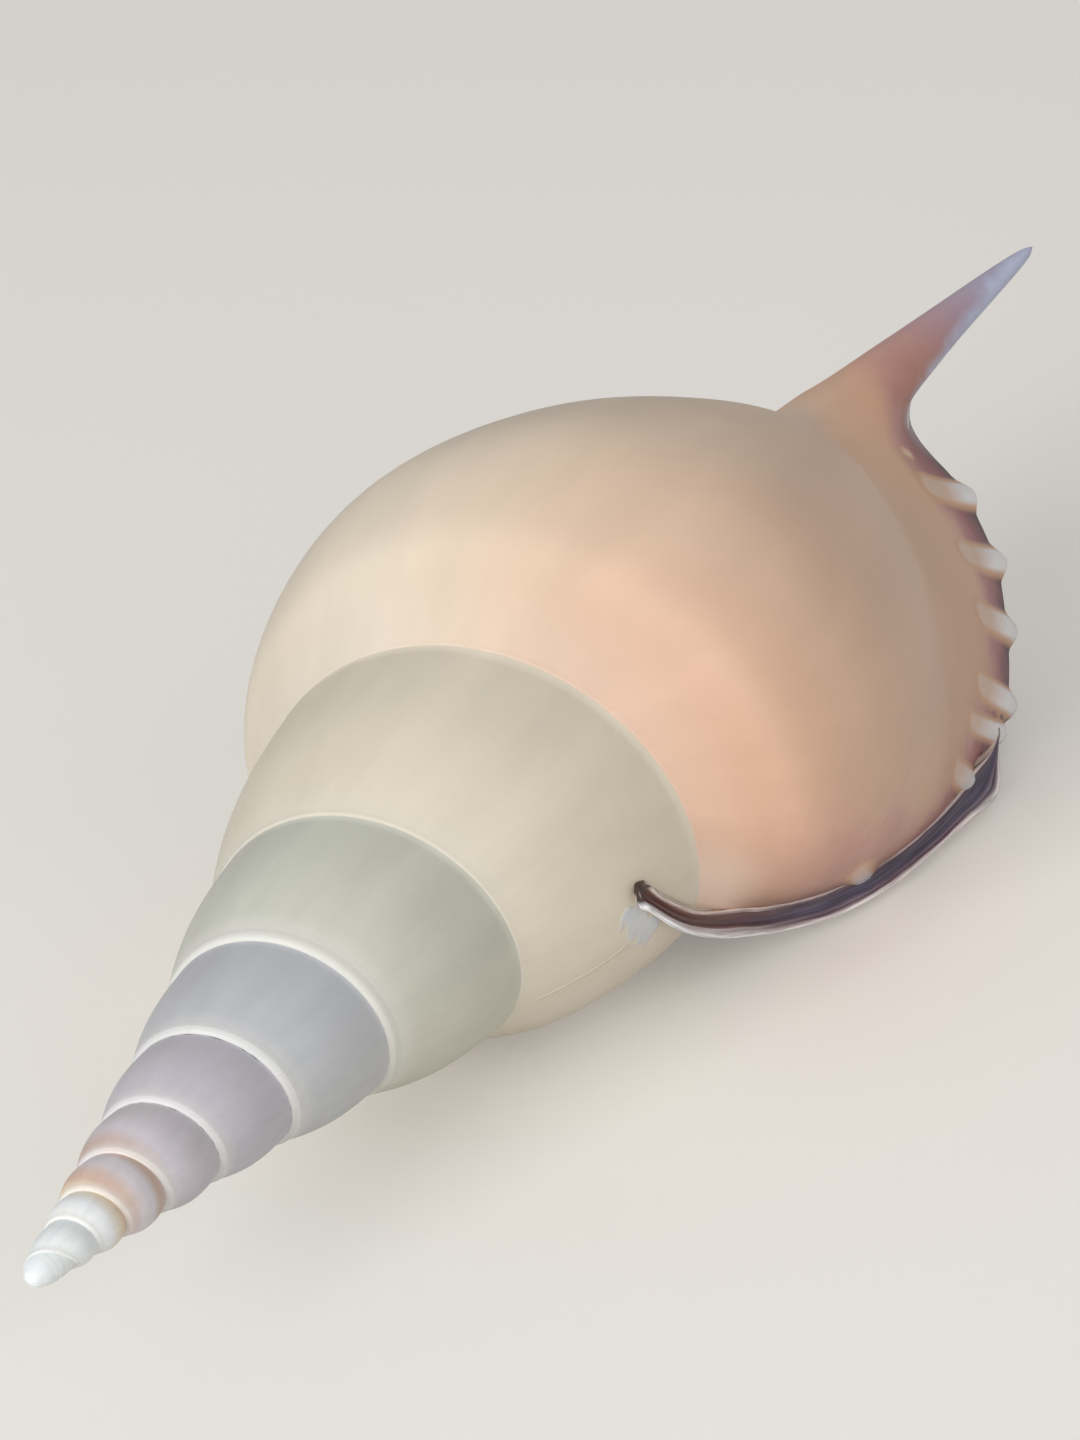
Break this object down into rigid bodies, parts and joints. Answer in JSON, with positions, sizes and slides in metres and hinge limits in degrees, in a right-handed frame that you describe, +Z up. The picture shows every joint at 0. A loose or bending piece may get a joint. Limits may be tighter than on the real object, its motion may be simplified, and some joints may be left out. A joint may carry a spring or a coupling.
{
  "type": "tibia shell",
  "caption": "Spindle-shaped sea snail shell with a tall tapering spire, a swollen last whorl, a flared toothed lip and a pointed front canal.",
  "frame": {"origin": "centre of the bounding box's base, on the surface it rests on", "axes": "+Y from the apex toward the front canal, +Z up in the rest on lip and belly, the lip on the +X side"},
  "size_m": [0.0436, 0.1476, 0.0393],
  "materials": {
    "aragonite": "satin"
  },
  "bodies": {
    "root": {"shell": "aragonite"}
  },
  "joints": []
}
